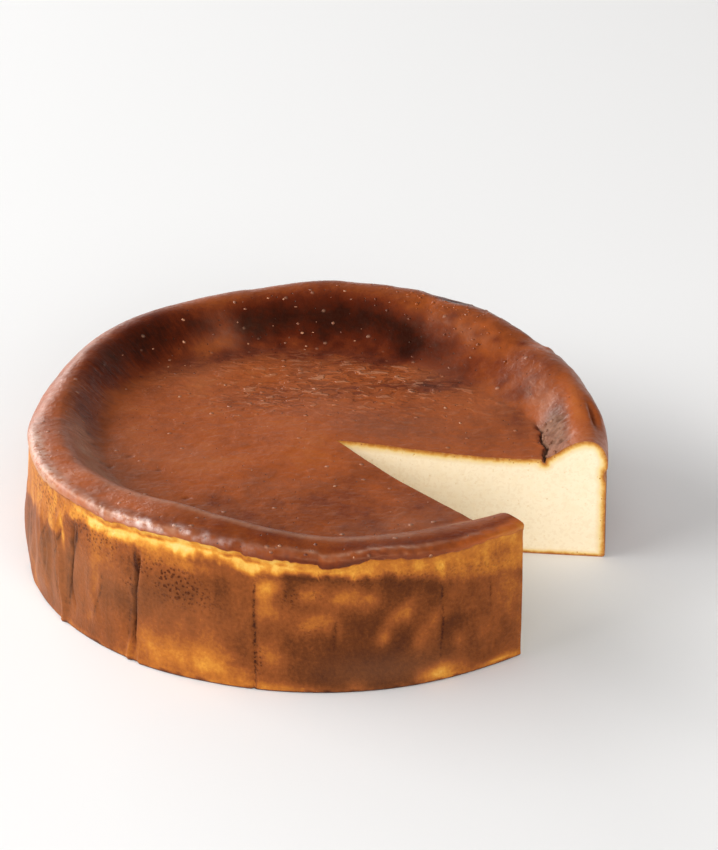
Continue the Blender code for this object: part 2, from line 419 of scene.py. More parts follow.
def shoulder_points(size, lip_at):
    """Over the rim, from its highest line to the lip. At the front left it rolls over late."""
    power = 2 / size.fullness
    low = size.even_lip + LIP_THICKNESS
    level_part = 1 - ROLL_WIDTH / (lip_at - size.crest_at)
    for share in np.linspace(0, 1, SHOULDER_STEPS + 1)[1:]:
        turn = share * np.pi / 2
        across = np.sin(turn) ** power
        up = abs(np.cos(turn)) ** power
        first, turn = min(1, 2 * share), max(0, share - 0.5) * np.pi
        late_across = level_part * first + (1 - level_part) * np.sin(turn)
        late_up = (1 - ROLL_FALL * first**2) * np.cos(turn)
        across = across + size.late * (late_across - across)
        up = up + size.late * (late_up - up)
        yield size.crest_at + (lip_at - size.crest_at) * across, low + (size.crest - low) * up


def band_points(size, lip_at):
    """Round the lip's edge, under it and down the band."""
    for inward, height in UNDER_LIP:
        yield lip_at - inward * size.band_depth, size.lip + height


def side_points(size):
    """Down the side and round the edge at the floor."""
    floor = np.zeros_like(size.out)
    side_top = size.lip - BAND_HEIGHT
    for share in np.linspace(1, 0, SIDE_STEPS + 1):
        height = FLOOR_EDGE + (side_top - FLOOR_EDGE) * share
        yield size.out + side_offset(size.direction, height), height
    foot = size.out + side_offset(size.direction, floor + FLOOR_EDGE)
    chamfer = FLOOR_EDGE * (1 - np.sqrt(0.5))
    yield foot - chamfer, floor + chamfer
    yield foot - FLOOR_EDGE, floor


lip_at = size.out + side_offset(size.direction, size.lip - BAND_HEIGHT)
parts = [
    list(centre_points(size)),
    list(slope_points(size)),
    list(shoulder_points(size, lip_at)),
    list(band_points(size, lip_at)),
    list(side_points(size)),
]
CREST_ROW = len(parts[0]) + len(parts[1]) - 1
LIP_ROW = CREST_ROW + len(parts[2]) + 2  # the lip's lower edge
distances, heights = np.array([point for part in parts for point in part]).transpose(1, 0, 2)
flat = WEDGE_TIP[:, None, None] + distances * size.rays[:, None, :]
net = np.stack([*flat, heights], axis=-1)  # row, section, xyz
print(len(net), "points on each section, the lip is point", LIP_ROW)

# %% [markdown]
# ## Relief on the skin
# The finer forms are pushed along the surface's own direction: wrinkles at the back of
# the sunk centre, where the skin shrank, crags on the tear, blisters on the rim, and a
# fold in the shoulder at the right. They are only tenths of a millimetre high, but
# grazing light shows each one. Soft patches say where each kind lies.

# %% Measure where each point lies
def spots(first, second, marks):
    """Soft patches: the middle, the two half widths, the amount, and perhaps a slant."""
    total = np.zeros_like(first)
    for at_first, at_second, wide, tall, amount, *slant in marks:
        across = turned(first, at_first) - sum(slant) * (second - at_second)
        total = total + amount * bump(across, wide) * bump(second - at_second, tall)
    return total


WRINKLES = [(16, 40, 42, 22, 1), (-22, 22, 16, 12, 0.5)]
BLISTERS = [(60, 96, 14, 9, 1), (47, 88, 12, 6, 0.6)]  # direction, radius
DENTS = [
    (-85, -9), (-83, -15), (-79, -27), (-76, -29), (-69, -21), (-58, -31), (-63, -52), (-47, -52),
]
DENT_WIDTH = 1.1

x, y, z = np.moveaxis(net, -1, 0)
direction = np.degrees(np.arctan2(y, x))
radius = np.hypot(x, y)
row = np.arange(len(net))[:, None]
steps = np.hypot(np.diff(distances, axis=0), np.diff(heights, axis=0))
along = np.concatenate([np.zeros_like(steps[:1]), np.cumsum(steps, axis=0)])
to_lip = along[LIP_ROW] - along  # over the skin, negative below the lip
on_top = smooth((LIP_ROW - row) / 6)
on_side = smooth((row - LIP_ROW) / 4) * smooth((z - 0.4) / 3)
on_rim = smooth((row - CREST_ROW + 14) / 8)
outside = row > CREST_ROW
in_sunk = smooth((size.foot_at - distances) / 6 + 0.7) * (row < CREST_ROW)
front_lip = bump(turned(direction, -82), 22) * outside
wrinkled = spots(x, y, WRINKLES) * in_sunk
blistered = spots(direction, radius, BLISTERS) * on_top
torn = size.crack * smooth((row - CENTRE_STEPS + 1) / 2) * smooth((CENTRE_STEPS + 18 - row) / 9)
holes = smooth(3 * clouds(net, 2.2, 30) - 1)
dents = sum(bump(np.hypot(x - dent_x, y - dent_y), DENT_WIDTH) for dent_x, dent_y in DENTS)
print("from crest to lip, mm:", to_lip[CREST_ROW].min().round(1), "to", to_lip[CREST_ROW].max().round(1))

# %% Push the relief out
RIM_LUMPS = [(36, 106, 28, 6, 1)]
RIM_MARKS = [(29.5, 104, 1.6, 1.6, 0.7), (57.5, 102.5, 3.6, 3, -1.3)]  # a flake, a charred notch
SHOULDER_FOLD = [(105.2, 0, 1.7, 7, 0.9, -0.2), (102.6, -1, 0.9, 4, -1.5, -0.22)]  # radius first
BEAD_HEIGHTS = [(-123, 13, 1), (-152, 14, 0.8), (-86, 22, 0.6)]
BEAD_AT, BEAD_WIDTH = 3.5, 2.4  # over the skin, from the lip
PAPER_CREASE = [(-118.4, 12.4, 3.2, 1, 0.5, 2.6), (-114, 14.3, 2.6, 0.9, 0.45, 1.6)]
COARSE_PITS = [(-115.5, 36.5, 5, 7.5, 1, -0.35), (-129, 41, 5, 7, 0.6)]

flat_top = on_top * (1 - 0.75 * on_rim)
bead = on_top * outside * bump(to_lip - BEAD_AT, BEAD_WIDTH) * varied(direction, 0, BEAD_HEIGHTS)
lip_edge = on_top * bump(to_lip - 2.6, 2.8) * (0.06 + 0.4 * front_lip)
relief = np.zeros_like(x)
for where, amount, lumps in (  # the amount is in millimetres
    (on_top, 0.24, clouds(net, 17)),
    (on_top, 0.12, clouds(net, 8, 3)),
    (flat_top, 0.14, clouds(net, 5.6, 61)),
    (flat_top, 0.06, clouds(net, 3.6, 6)),
    (wrinkled, 0.25, clouds(net * [0.6, 1.2, 0.2], 3.2, 2)),
    (blistered, 0.26, rough(net, 3.6, 9)),
    (torn, 0.4, rough(net, 3.4, 4)),
    (torn, 0.32, rough(net, 1.4, 14, 2)),
    (torn, -0.4, holes),
    (on_top * spots(direction, radius, RIM_LUMPS), 0.5, rough(net, 7, 31)),
    (on_top, 1, spots(direction, radius, RIM_MARKS) + spots(radius, direction, SHOULDER_FOLD)),
    (bead, 1, 1 + 0.35 * clouds(net, 5, 41)),
    (lip_edge, 1, rough(net, 1.9, 43, 2)),
    (on_side, 0.22, clouds(net * [1, 1, 0.6], 9, 1)),
    (on_side, 0.08, rough(net * [1, 1, 0.5], 4, 8)),
    (on_side, 1, spots(direction, z, PAPER_CREASE)),
    (on_side * spots(direction, z, COARSE_PITS), -0.5, smooth(clouds(net, 2.4, 12) * 3 - 0.8)),
    (dents, -0.45, 1),
):
    relief = relief + where * amount * lumps

push = np.cross(np.gradient(net, axis=0), np.gradient(net, axis=1))  # out of the skin
push = push / np.maximum(np.linalg.norm(push, axis=-1, keepdims=True), 1e-9)
for edge, angle in ((0, FIRST_CUT), (-1, LAST_CUT)):  # points on a cut stay in its plane
    plane = np.array([-math.sin(math.radians(angle)), math.cos(math.radians(angle)), 0])
    push[:, edge] -= (push[:, edge] @ plane)[:, None] * plane
low, high = (np.array(corner) / MM for corner in CAD_BOX)
net = np.clip(net + relief[..., None] * push, low, high)
net[-1, :, 2] = 0
print("relief from", relief.min().round(2), "to", relief.max().round(2), "mm")

# %% [markdown]
# ## How brown each place is
# Almost all of the cake's colours are degrees of one thing: how far the custard has
# browned. It goes yellow, then amber, then brown, and almost black where it burns. So the
# mesh carries one value for browning, between 0 and 1, and each finish turns it to
# colours. It is painted with soft patches: the burnt slope of the rim, the pale band
# below the lip, and the amber where the paper stood off the tin. The finer mottling comes
# from the finishes.
# Painted shade goes into it too: in the tear, in the shoulder's groove and in the side's folds.

# %% Paint the browning of the top
TOP_BROWNING = 0.42
SCORCHES = [  # x, y, the two half widths, the amount and perhaps a slant, in millimetres
    (44, 36, 9, 6, 0.18), (60, 42, 7, 7, 0.16), (24, 60, 18, 8, 0.14), (-6, 64, 22, 9, 0.08),
    (-36, 62, 14, 7, 0.08), (0, -66, 60, 28, 0.17), (0, 67, 42, 9, 0.15), (2, 76, 46, 8, 0.2),
    (32, 60, 22, 8, 0.14), (-46, 58, 17, 10, 0.22), (-62, 40, 9, 14, 0.12), (40, 40, 14, 8, 0.12),
    (14, 30, 20, 6, 0.05), (97, -12, 5, 9, -0.1), (50, 2, 26, 16, 0.06), (76, 2, 5, 16, 0.1),
    (77, 33, 11, 22, 0.32, -0.2), (90, 6, 6, 16, 0.16), (64, 62, 14, 12, 0.06),
    (64, 62, 2.6, 2, 0.15), (70, 58, 2.4, 2, 0.15), (80, 54, 2.8, 2, 0.13),
    (54, 74, 2.6, 2.2, 0.14), (96, 8, 3, 12, -0.22), (92, 34, 3, 14, 0.04),
]
RIM_SCORCHES = [  # the same in direction and radius
    (180, 87, 14, 7, 0.24), (162, 89, 10, 8, 0.3), (148, 92, 11, 9.5, 0.43),
    (133, 92.5, 10, 10, 0.43), (-166, 99, 18, 6, 0.03), (121, 91, 5, 8, 0.24),
    (102, 88, 7, 11, 0.36), (111, 87, 6, 9, 0.36), (90, 87, 9, 12, 0.42), (76, 86, 10, 11, 0.42),
    (62, 80, 9, 9, 0.31), (50, 76, 8, 9, 0.22), (40, 73, 8, 9, 0.22), (30, 98, 20, 3.5, 0.04),
    (57.5, 103, 5, 2.2, 0.5), (-88, 105, 34, 8, 0.16), (-70, 108.5, 22, 2, 0.16),
    (180, 99, 22, 4, 0.05), (100, 104, 50, 4, 0.08), (-125, 111, 18, 2, 0.2),
]
GROOVE_SHADE = [(102.6, -0.5, 0.9, 4.2, 0.2, -0.22)]  # radius first
LIP_FADES = [  # direction, spread, how much paler, over how many millimetres
    (-158, 16, 0.5, 3.2), (-128, 22, 0.16, 4.4), (-53, 12, 0.42, 6.5), (20, 50, 0.4, 5),
    (110, 50, 0.45, 5),
]

top_browning = TOP_BROWNING + spots(x, y, SCORCHES) * (1 + 0.5 * rough(net, 9, 71))
top_browning += spots(direction, radius, RIM_SCORCHES) + spots(radius, direction, GROOVE_SHADE)
top_browning += 0.05 * rough(net, 22, 15) + 0.05 * blistered * rough(net, 4, 33)
for middle, spread, amount, reach in LIP_FADES:
    fade = smooth(1 - (to_lip + 1.2 * clouds(net, 2.5, 29)) / reach) * outside
    top_browning -= amount * bump(turned(direction, middle), spread) * fade
# A painted shadow darkens the tear's valley; the torn crust beside it is darker in its own colour.
tear_shadow = size.crack * bump(distances - size.foot_at + 0.4 * TEAR_WIDTH, 1)
top_browning += 0.45 * tear_shadow + torn * (0.34 + 0.12 * smooth(3 * clouds(net, 2.2, 30) - 0.8))
top_browning += 0.3 * bump(to_lip - 0.8, 2.2) * bump(turned(direction, -86), 26) + 0.2 * dents
shown = top_browning[:LIP_ROW]
print("top browning from", shown.min().round(2), "to", shown.max().round(2))

# %% [markdown]
# A burnt skin isn't equally glossy all over. Where it dried it has a pale bloom. A painted
# sheen lies on the inner slope at the left and front left, and painted highlights lie
# along the crest and on the bead above the lip.

# %% Paint the bloom, the sheen and the highlights
# Pale bloom in patches; those on the inner slope at the left and front left are painted sheen.
BLOOM_AND_SHEEN_PATCHES = [
    (116, 84, 5, 9, 0.12), (52, 88, 14, 5, 0.16), (10, 88, 14, 5, 0.08), (-160, 88, 20, 5, 0.4),
    (-140, 90, 20, 5, 0.92), (-100, 78, 50, 10, 0.15),
]
# Along the lip the pale strip is partly bloom and partly a painted highlight.
LIP_BLOOM_AND_HIGHLIGHT = [  # direction, spread, amount, distance from the lip, width
    (-157, 15, 1.2, 3.6, 3.2), (-126, 16, 0.6, 2.7, 2.1),
]

bloom_and_sheen = spots(direction, radius, BLOOM_AND_SHEEN_PATCHES) * (1 + 0.6 * clouds(net, 3, 45))
bloom_and_sheen += 0.5 * front_lip * bump(to_lip - 4.8, 0.9) * (1 + 0.8 * clouds(net, 2, 35))
streaks = 0.8 + 0.5 * clouds(net, 1.8, 55) + 0.5 * clouds(net, 6, 57)
for middle, spread, amount, at, wide in LIP_BLOOM_AND_HIGHLIGHT:
    bloom_and_sheen += amount * bump(turned(direction, middle), spread) * bump(to_lip - at, wide) * streaks
# A painted highlight along the crest line.
crest_shine = bump(distances - size.crest_at, 1.3) * bump(turned(direction, -98), 38)
bloom_and_sheen += 0.46 * torn + 0.12 * clouds(net, 23, 67) + 0.6 * crest_shine
# Painted highlights: pale streaks on the bead above the lip at the front left, and a broad one at the far
# left.
painted_glints = bump(to_lip - 3.1, 1.8) * bump(turned(direction, -120), 13)
painted_glints = painted_glints * smooth(0.6 + 2 * clouds(net, 3.4, 58))
painted_glints += 0.5 * bump(to_lip - 4.2, 3) * bump(turned(direction, -158), 15)
print("bloom up to", bloom_and_sheen[:LIP_ROW].max().round(2), "and fat up to", painted_glints[:LIP_ROW].max().round(2))

# %% [markdown]
# The side is pale just below the lip, where the crust shaded it, and the pale band has a
# ragged lower edge. Below it the side is brown with amber patches.

# %% Patches of the side
AMBER_PATCHES = [  # direction, height, the two half widths, the amount and perhaps a slant
    (-113, 8.5, 9.5, 6, -0.22), (-108, 5, 6, 5, -0.08), (-121, 9, 2, 9, -0.1),
    (-131.5, 44, 5, 5, -0.1, 0.3), (-133.5, 38, 3, 5, -0.06), (-112, 44.5, 9, 2.5, -0.14),
    (-119, 46.5, 2.5, 1.6, -0.12), (-155, 12, 6, 8, -0.06), (-98.6, 40.5, 2.6, 4.6, -0.3, 0.12),
    (-98.2, 31.5, 3.2, 4.1, -0.21, 0.1), (-98, 14.5, 3.4, 4.8, -0.23, -0.25), (-97, 2, 7, 2, -0.24),
    (-91.3, 39, 2.4, 3.6, -0.28, 0.2), (-90.6, 27.3, 3.2, 4.6, -0.28, 0.35),
    (-86, 37, 2.8, 4.1, -0.28, 0.3), (-81.4, 35.6, 2.2, 4.6, -0.35, 0.05),
    (-85.8, 22, 1.8, 5.4, -0.06), (-78.9, 21, 1.5, 5.3, -0.3, 0.1),
    (-75.6, 28.6, 2.1, 3.1, -0.25, 0.1), (-74.5, 33, 1.9, 3.6, -0.11, 0.1),
    (-72.2, 18, 1.6, 6, -0.16, 0.18), (-69.6, 26, 1.6, 4.2, -0.12, 0.2),
    (-83, 2.6, 1.8, 2.2, -0.16), (-68.8, 3.4, 4.2, 3.8, -0.56), (-65.2, 15, 1.1, 2.6, -0.14),
    (-60, 16, 1.5, 6.5, -0.14), (-56.5, 1.8, 4, 1.8, -0.32), (-54, 28, 5, 9, -0.1),
    (-72, 46.6, 1.5, 1.4, -0.14), (-68.5, 45.8, 0.8, 1.6, -0.14),
    (-60.8, 46.4, 0.5, 1.2, -0.16, 0.3), (-134.5, 49.5, 3.2, 1.4, -0.34),
    (-138.4, 50, 0.9, 1.6, -0.36), (-143.2, 37, 0.45, 6.5, -0.42, -0.08),
    (-150, 51.5, 5, 1.3, -0.3, 0.8), (-146, 47, 0.6, 3, -0.25), (-130.5, 52.8, 1.8, 1.4, -0.2, 0.6),
    (-157, 49.5, 4.5, 2.2, -0.14, 1), (-141, 53.4, 2.4, 0.6, -0.3),
]
BROWN_PATCHES = [
    (-118, 33, 7, 8, 0.06), (-106, 38, 4.5, 8, 0.06), (-103, 15, 1.9, 7, 0.14),
    (-104.2, 9.4, 2.2, 0.7, 0.12, 0.6), (-126.5, 24, 2.4, 5, 0.14), (-121.5, 26, 1.5, 8, 0.06),
    (-130.5, 24, 3, 6, 0.06), (-123.6, 24, 0.5, 11, 0.26, 0.018), (-123.5, 40, 0.5, 5, 0.2),
    (-139.8, 30, 0.4, 13, 0.26, 0.038), (-150.6, 27, 0.5, 4, 0.12),
    (-145.6, 34, 1.4, 0.9, 0.22, 0.5), (-141.6, 46.6, 1, 0.7, 0.2), (-140.6, 34.5, 0.5, 1.2, 0.2),
    (-159.7, 23, 0.5, 5, 0.08), (-147, 18, 2, 5, 0.08), (-95, 38.5, 2.2, 5, 0.1),
    (-92, 45, 9, 1, 0.12), (-84, 12, 8, 8, 0.06), (-66, 22, 2.6, 3, 0.1), (-62, 24, 2, 3, 0.06),
]
PITTED = [
    (-115.5, 36.5, 5.5, 7, 1.4, -0.35), (-130, 42, 5, 5, 0.7, 0.1), (-94.8, 38, 1.8, 4.5, 0.8),
    (-90.3, 38.5, 1.6, 2.6, 0.4), (-100, 12, 0.9, 6, 0.8), (-91.5, 25.5, 2.4, 2.6, 0.5),
    (-125, 31, 1.4, 4, 0.8), (-151, 45, 9, 7, 0.7), (-136, 44, 3, 5, 0.6),
    (-80, 43.6, 14, 2.6, 0.5), (-60, 40, 8, 4, 0.3), (-100.85, 22, 0.25, 18, 1),
]
HIDDEN_PATCHES = 46
HIDDEN_HEIGHTS = [3, 14, 21, 28]

chance = np.random.default_rng(31)
for number in range(HIDDEN_PATCHES):
    middle = -42 + 232 * (number + chance.uniform(0, 1)) / HIDDEN_PATCHES
    place = (middle, chance.choice(HIDDEN_HEIGHTS) + chance.uniform(-3, 3))
    half = (chance.uniform(1.6, 5), chance.uniform(3, 6.5))
    AMBER_PATCHES.append((*place, *half, -chance.uniform(0.06, 0.26), chance.uniform(-0.3, 0.3)))
    if number % 5 == 0:
        PITTED.append((*place, 4, 5, 0.7))
print(len(AMBER_PATCHES), "amber patches,", len(PITTED), "pitted places")

# %% Paint the browning of the side
SIDE_BROWNING = [(-78, 22, 0.22), (-54, 12, -0.03), (-152, 20, 0.06), (60, 60, 0.1), (130, 40, 0.05)]
BAND_BROWNING = [(-112, 20, -0.17), (-152, 12, 0.04), (-90, 9, -0.06), (-60, 12, 0.06)]
BAND_FLOOR = [  # direction and height
    (-180, 36), (-164, 31.5), (-160, 31), (-155, 36), (-150, 34), (-145, 33.5), (-142, 44.5),
    (-138, 46), (-132, 45), (-126, 47), (-118, 48.2), (-110, 48.4), (-106, 47.8), (-103, 46.8),
    (-101, 44.5), (-99.5, 47.2), (-94, 46.6), (-88, 45.6), (-85, 45), (-75, 43.5), (-70, 41.5),
    (-64, 37.4), (-46, 36), (0, 29), (40, 36), (90, 39), (140, 36.5), (180, 36),
]
BAND_EDGE = 2.2
BAND_EDGE_BUMPS = [(-64, 18, 4), (-155, 14, 1.5), (-116, 14, 1.6)]

amber = spots(direction, z, AMBER_PATCHES)
side_browning = varied(direction, 0.64, SIDE_BROWNING) + spots(direction, z, BROWN_PATCHES)
side_browning += 1.05 * amber * (1 + 0.3 * clouds(net, 3.4, 13))
side_browning += 0.07 * rough(net * [1, 1, 0.6], 9, 25)
side_browning -= 0.14 * smooth((3 - z) / 2.5 + 0.5 * clouds(net, 4, 17))
side_browning += 0.5 * smooth((1.1 - z) / 0.8 + 0.8 * clouds(net, 3, 47))
around = (direction + 30) % 360 - 30  # without a jump between the two cuts
line_distance = np.full_like(z, np.inf)
line_strength = np.zeros_like(z)
fold_shade = np.zeros_like(z)
sorted_folds = sorted(((fold[0] + 30) % 360 - 30, *fold[1:]) for fold in FOLDS)
for number, (at_floor, turn, half_width, depth, *ends) in enumerate(sorted_folds):
    across = swayed(around, z) - at_floor - turn * z
    shown = fold_ends(z, *ends)
    fold_shade += shown * np.clip(depth, -0.5, 0.8) * bump(across, 0.6 * half_width + 0.12)
    across = np.radians(across) * radius
    closer = abs(across) < abs(line_distance)
    line_distance = np.where(closer, across * (-1) ** number, line_distance)
    narrow = min(1, 0.5 / half_width) * (depth > 0)
    line_strength = np.where(closer, shown * narrow * min(1, depth), line_strength)
# Painted shade in the grooves of the folds, and painted light on their ridges.
side_browning += 0.16 * fold_shade * (1 + 0.9 * clouds(net, 2, 19))

below_lip = size.lip - z
band_floor = np.interp(direction, *np.array(BAND_FLOOR).T) + 0.9 * rough(net, 5, 21)
band_floor += 0.9 * clouds(net * [1, 1, 0.12], 1.5, 49)
pale = smooth(turned(direction, -137) / 3) * smooth(-turned(direction, -86) / 18)
band_browning = varied(direction, 0.41, BAND_BROWNING) + 0.6 * amber
for where, amount, lumps in (
    (pale * bump(below_lip - 2.2, 0.7), 0.26, 1 + clouds(net, 3, 37)),
    (pale * bump(z - band_floor - 2.8, 1.9), -0.2, 1),
    (pale * bump(below_lip - 0.8, 0.9), -0.12, smooth(2.4 * clouds(net, 2.2, 51) - 0.3)),
    (bump(below_lip, 0.6), 0.14, 1 - bump(turned(direction, -50), 12)),
    (1, 0.07, rough(net, 5, 27)),
    (1, 0.09, clouds(net * [1, 1, 0.3], 1.9, 63)),
):
    band_browning = band_browning + where * amount * lumps
into_side = smooth((band_floor - z) / varied(direction, BAND_EDGE, BAND_EDGE_BUMPS) + 0.5)
side_browning = band_browning + (side_browning - band_browning) * into_side
shown = side_browning[LIP_ROW:]
print("side browning from", shown.min().round(2), "to", shown.max().round(2))

# %% [markdown]
# The other painted values say where a finish changes or where small things lie. They are
# gathered by name, because the mesh carries each of them as an attribute.

# %% Gather the painted values
SIDE_DUST_PATCHES = [
    (-152, 14, 17, 14, 0.4), (-142, 30, 14, 8, 0.2), (-122, 26, 16, 12, 0.12), (-78, 8, 12, 7, 0.2),
    (100, 16, 60, 12, 0.2),
]
STREAKED = [(186, 88, 30, 8, 1), (140, 90, 24, 8, 0.6), (222, 92, 12, 7, 0.5)]
BUBBLY = [(-8, 84, 34, 13, 1), (-62, 56, 20, 14, 0.4), (45, 50, 18, 16, 0.35), (0, 0, 90, 80, 0.09)]


def share(values, where=1):
    """Painted values between 0 and 1, only where they are wanted."""
    return np.clip(values * where, 0, 1)


on_crust = row < LIP_ROW
lip_bubbles = 0.7 * front_lip * bump(to_lip - 3.6, 3) * on_crust
fields = {
    "browning": share(np.where(on_crust, top_browning, side_browning)),
    "bloom_and_sheen": share(np.where(on_crust, bloom_and_sheen, spots(direction, z, SIDE_DUST_PATCHES))),
    "pitted": share(spots(direction, z, PITTED), ~on_crust),
    "wrinkled": share(wrinkled + 0.13 * in_sunk),
    "torn": share(torn),
    "streaked": spots(around, radius, STREAKED) * on_crust,
    "gloss_and_painted_glints": painted_glints * on_crust,
    "line_distance": line_distance * MM,
    "line_strength": line_strength * ~on_crust,
    "bubbly": share(spots(x, y, BUBBLY) * (row < CREST_ROW) + lip_bubbles),
    "crumbly": torn * (0.15 + 0.85 * bump(row - CENTRE_STEPS - 3, 3.5)),
    "flaky": share(blistered, on_crust),
}
print("painted:", *fields)

# %% [markdown]
# ## From the net to a closed mesh
# The sections meet at the wedge's tip, where cells of even number would become needles.
# So the net halves its cells each time they get narrow, and a ring of triangles joins
# the halves. The two cut faces and the floor are flat fields with hundreds of edge
# points, which a Delaunay triangulation fills, with inner points as far apart as those
# at the edge.

# %% Join the rings
HALVING = [52, 26, 13, 6.5]  # distances from the tip where the cells halve
points = [np.array([*WEDGE_TIP, centre_height(*WEDGE_TIP)]), np.array([*WEDGE_TIP, 0])]
TIP_TOP, TIP_FLOOR = 0, 1
rings = []
ring_row = []
carried = {name: [field[0][:1], [0]] for name, field in fields.items()}
for i, ring in enumerate(net):
    inner = distances[i].mean() if i < CENTRE_STEPS else np.inf
    every = 2 ** sum(inner < limit for limit in HALVING)
    chosen = np.arange(0, CELLS_ROUND + 1, every)
    rings.append(np.arange(len(points), len(points) + len(chosen)))
    ring_row += [i] * len(chosen)
    points.extend(ring[chosen])
    for name, field in fields.items():
        carried[name].append(field[i][chosen])
skin_count = len(points)

faces = [(TIP_TOP, rings[0][i], rings[0][i + 1]) for i in range(len(rings[0]) - 1)]
for a, b in zip(rings, rings[1:]):
    for i in range(len(a) - 1):
        if len(a) == len(b):
            faces.append((a[i], b[i], b[i + 1], a[i + 1]))
        else:
            faces.append((a[i], b[2 * i], b[2 * i + 1]))
            faces.append((a[i], b[2 * i + 1], a[i + 1]))
            faces.append((a[i + 1], b[2 * i + 1], b[2 * i + 2]))
skin_faces = len(faces)
print(skin_count, "points and", skin_faces, "faces in the skin")


# %% Helpers to fill flat fields
def to_line(places, line):
    """How far each place is from a line through points."""
    nearest = np.full(len(places), np.inf)
    for a, b in zip(line, line[1:]):
        part = np.clip((places - a) @ (b - a) / max((b - a) @ (b - a), 1e-12), 0, 1)
        nearest = np.minimum(nearest, np.linalg.norm(places - a - part[:, None] * (b - a), axis=1))
    return nearest


def inner_points(border, spacing, seed):
    """A jittered grid of points inside a closed border, none of them close to it."""
    chance = np.random.default_rng(seed)
    grid = [np.arange(border[:, k].min(), border[:, k].max(), spacing) for k in (0, 1)]
    field = np.stack(np.meshgrid(*grid), axis=-1).reshape(-1, 2)
    field = field + chance.uniform(-0.3, 0.3, field.shape) * spacing
    inside = np.zeros(len(field), bool)
    for a, b in zip(border, np.roll(border, -1, axis=0)):
        crosses = (a[1] > field[:, 1]) != (b[1] > field[:, 1])
        run = (b[0] - a[0]) * (field[:, 1] - a[1]) / (b[1] - a[1] + 1e-12) + a[0]
        inside ^= crosses & (field[:, 0] < run)
    return field[inside & (to_line(field, [*border, border[0]]) > 0.55 * spacing)]


def fill(border, flat_border, lift, spacing, seed):
    """Fills a flat border of points with triangles. lift turns flat places into points."""
    inner = inner_points(flat_border, spacing, seed)
    number = [*border, *range(len(points), len(points) + len(inner))]
    points.extend(lift(inner))
    flat_points = [Vector(place) for place in [*flat_border, *inner]]
    count = len(border)
    edges = [(i, (i + 1) % count) for i in range(count)]
    filled = delaunay_2d_cdt(flat_points, edges, [list(range(count))], 1, 1e-7)
    _, _, triangles, from_old, _, _ = filled
    faces.extend(tuple(number[from_old[corner][0]] for corner in triangle) for triangle in triangles)
    return len(triangles)


def new_points(line):
    """Adds points to the cake and gives back their numbers."""
    points.extend(line)
    return list(range(len(points) - len(line), len(points)))


print("the skin has", len(rings) + 1, "points along each cut")

# %% Fill the cut faces and the floor
CUT_SPACING = 0.95
FLOOR_SPACING = 9
TIP_POINTS = 44
FLOOR_POINTS = 12
tip_heights = np.linspace(points[TIP_TOP][2], 0, TIP_POINTS + 2)[1:-1]
tip_line = new_points([np.array([*WEDGE_TIP, height]) for height in tip_heights])
floor_lines = []
cut_starts = [len(faces)]
for edge, angle in ((0, FIRST_CUT), (-1, LAST_CUT)):
    ray = rays(np.array([angle]))[:, 0]

    def lift(flat_places, ray=ray):
        return [np.array([*(WEDGE_TIP + along * ray), height]) for along, height in flat_places]

    profile = [ring[edge] for ring in rings]
    reach = (points[profile[-1]][:2] - WEDGE_TIP) @ ray
    inward = np.linspace(reach, 0, FLOOR_POINTS + 2)[1:-1]
    floor_lines.append(new_points(lift([(distance, 0) for distance in inward])))
    border = [TIP_TOP, *profile, *floor_lines[-1], TIP_FLOOR, *reversed(tip_line)]
    place = np.array([[(points[i][:2] - WEDGE_TIP) @ ray, points[i][2]] for i in border])
    print("cut face at", angle, "degrees:", fill(border, place, lift, CUT_SPACING, 5), "triangles")
    cut_starts.append(len(faces))

border = [TIP_FLOOR, *reversed(floor_lines[0]), *rings[-1], *floor_lines[1]]
place = np.array([points[i][:2] for i in border])
print("floor:", fill(border, place, lambda inner: [np.array([*p, 0]) for p in inner], FLOOR_SPACING, 6))

# %% Make the cake's mesh
CRUST, SIDE, CUT, BASE = range(4)  # the finishes, in the order of the mesh's slots
places = np.array(points)
mesh = bpy.data.meshes.new("cheesecake_body")
mesh.from_pydata((places * MM).tolist(), [], [tuple(int(i) for i in face) for face in faces])
kind_of_face = np.full(len(faces), CRUST, np.int32)
row_of_point = np.array([-1, -1, *ring_row])
second_corner = np.array([face[1] for face in faces[:skin_faces]])
kind_of_face[:skin_faces][row_of_point[second_corner] > LIP_ROW] = SIDE
kind_of_face[cut_starts[0] : cut_starts[2]] = CUT
kind_of_face[cut_starts[2] :] = BASE
mesh.polygons.foreach_set("material_index", kind_of_face)
cake = bpy.data.objects.new("cheesecake_body", mesh)
bpy.context.collection.objects.link(cake)

bm = bmesh.new()
bm.from_mesh(mesh)
bmesh.ops.recalc_face_normals(bm, faces=bm.faces)
print("open edges:", sum(not edge.is_manifold for edge in bm.edges))
print("volume, litres:", round(bm.calc_volume() * 1000, 3))
bm.to_mesh(mesh)
bm.free()
mesh.shade_smooth()
mesh.set_sharp_from_angle(angle=math.radians(50))
print("triangles:", sum(len(face) - 2 for face in faces), "faces by kind:", np.bincount(kind_of_face))

# %% [markdown]
# Each painted value becomes an attribute of the mesh. The custard's colour changes with
# the distance from the skin, so the cut faces get that distance as one more attribute.

# %% Store the painted values on the mesh
def store(name, values):
    """Keeps one value for each point of the cake, 0 where none is given."""
    every = np.zeros(len(points), np.float32)
    every[: len(values)] = values
    mesh.attributes.new(name, "FLOAT", "POINT").data.foreach_set("value", every)


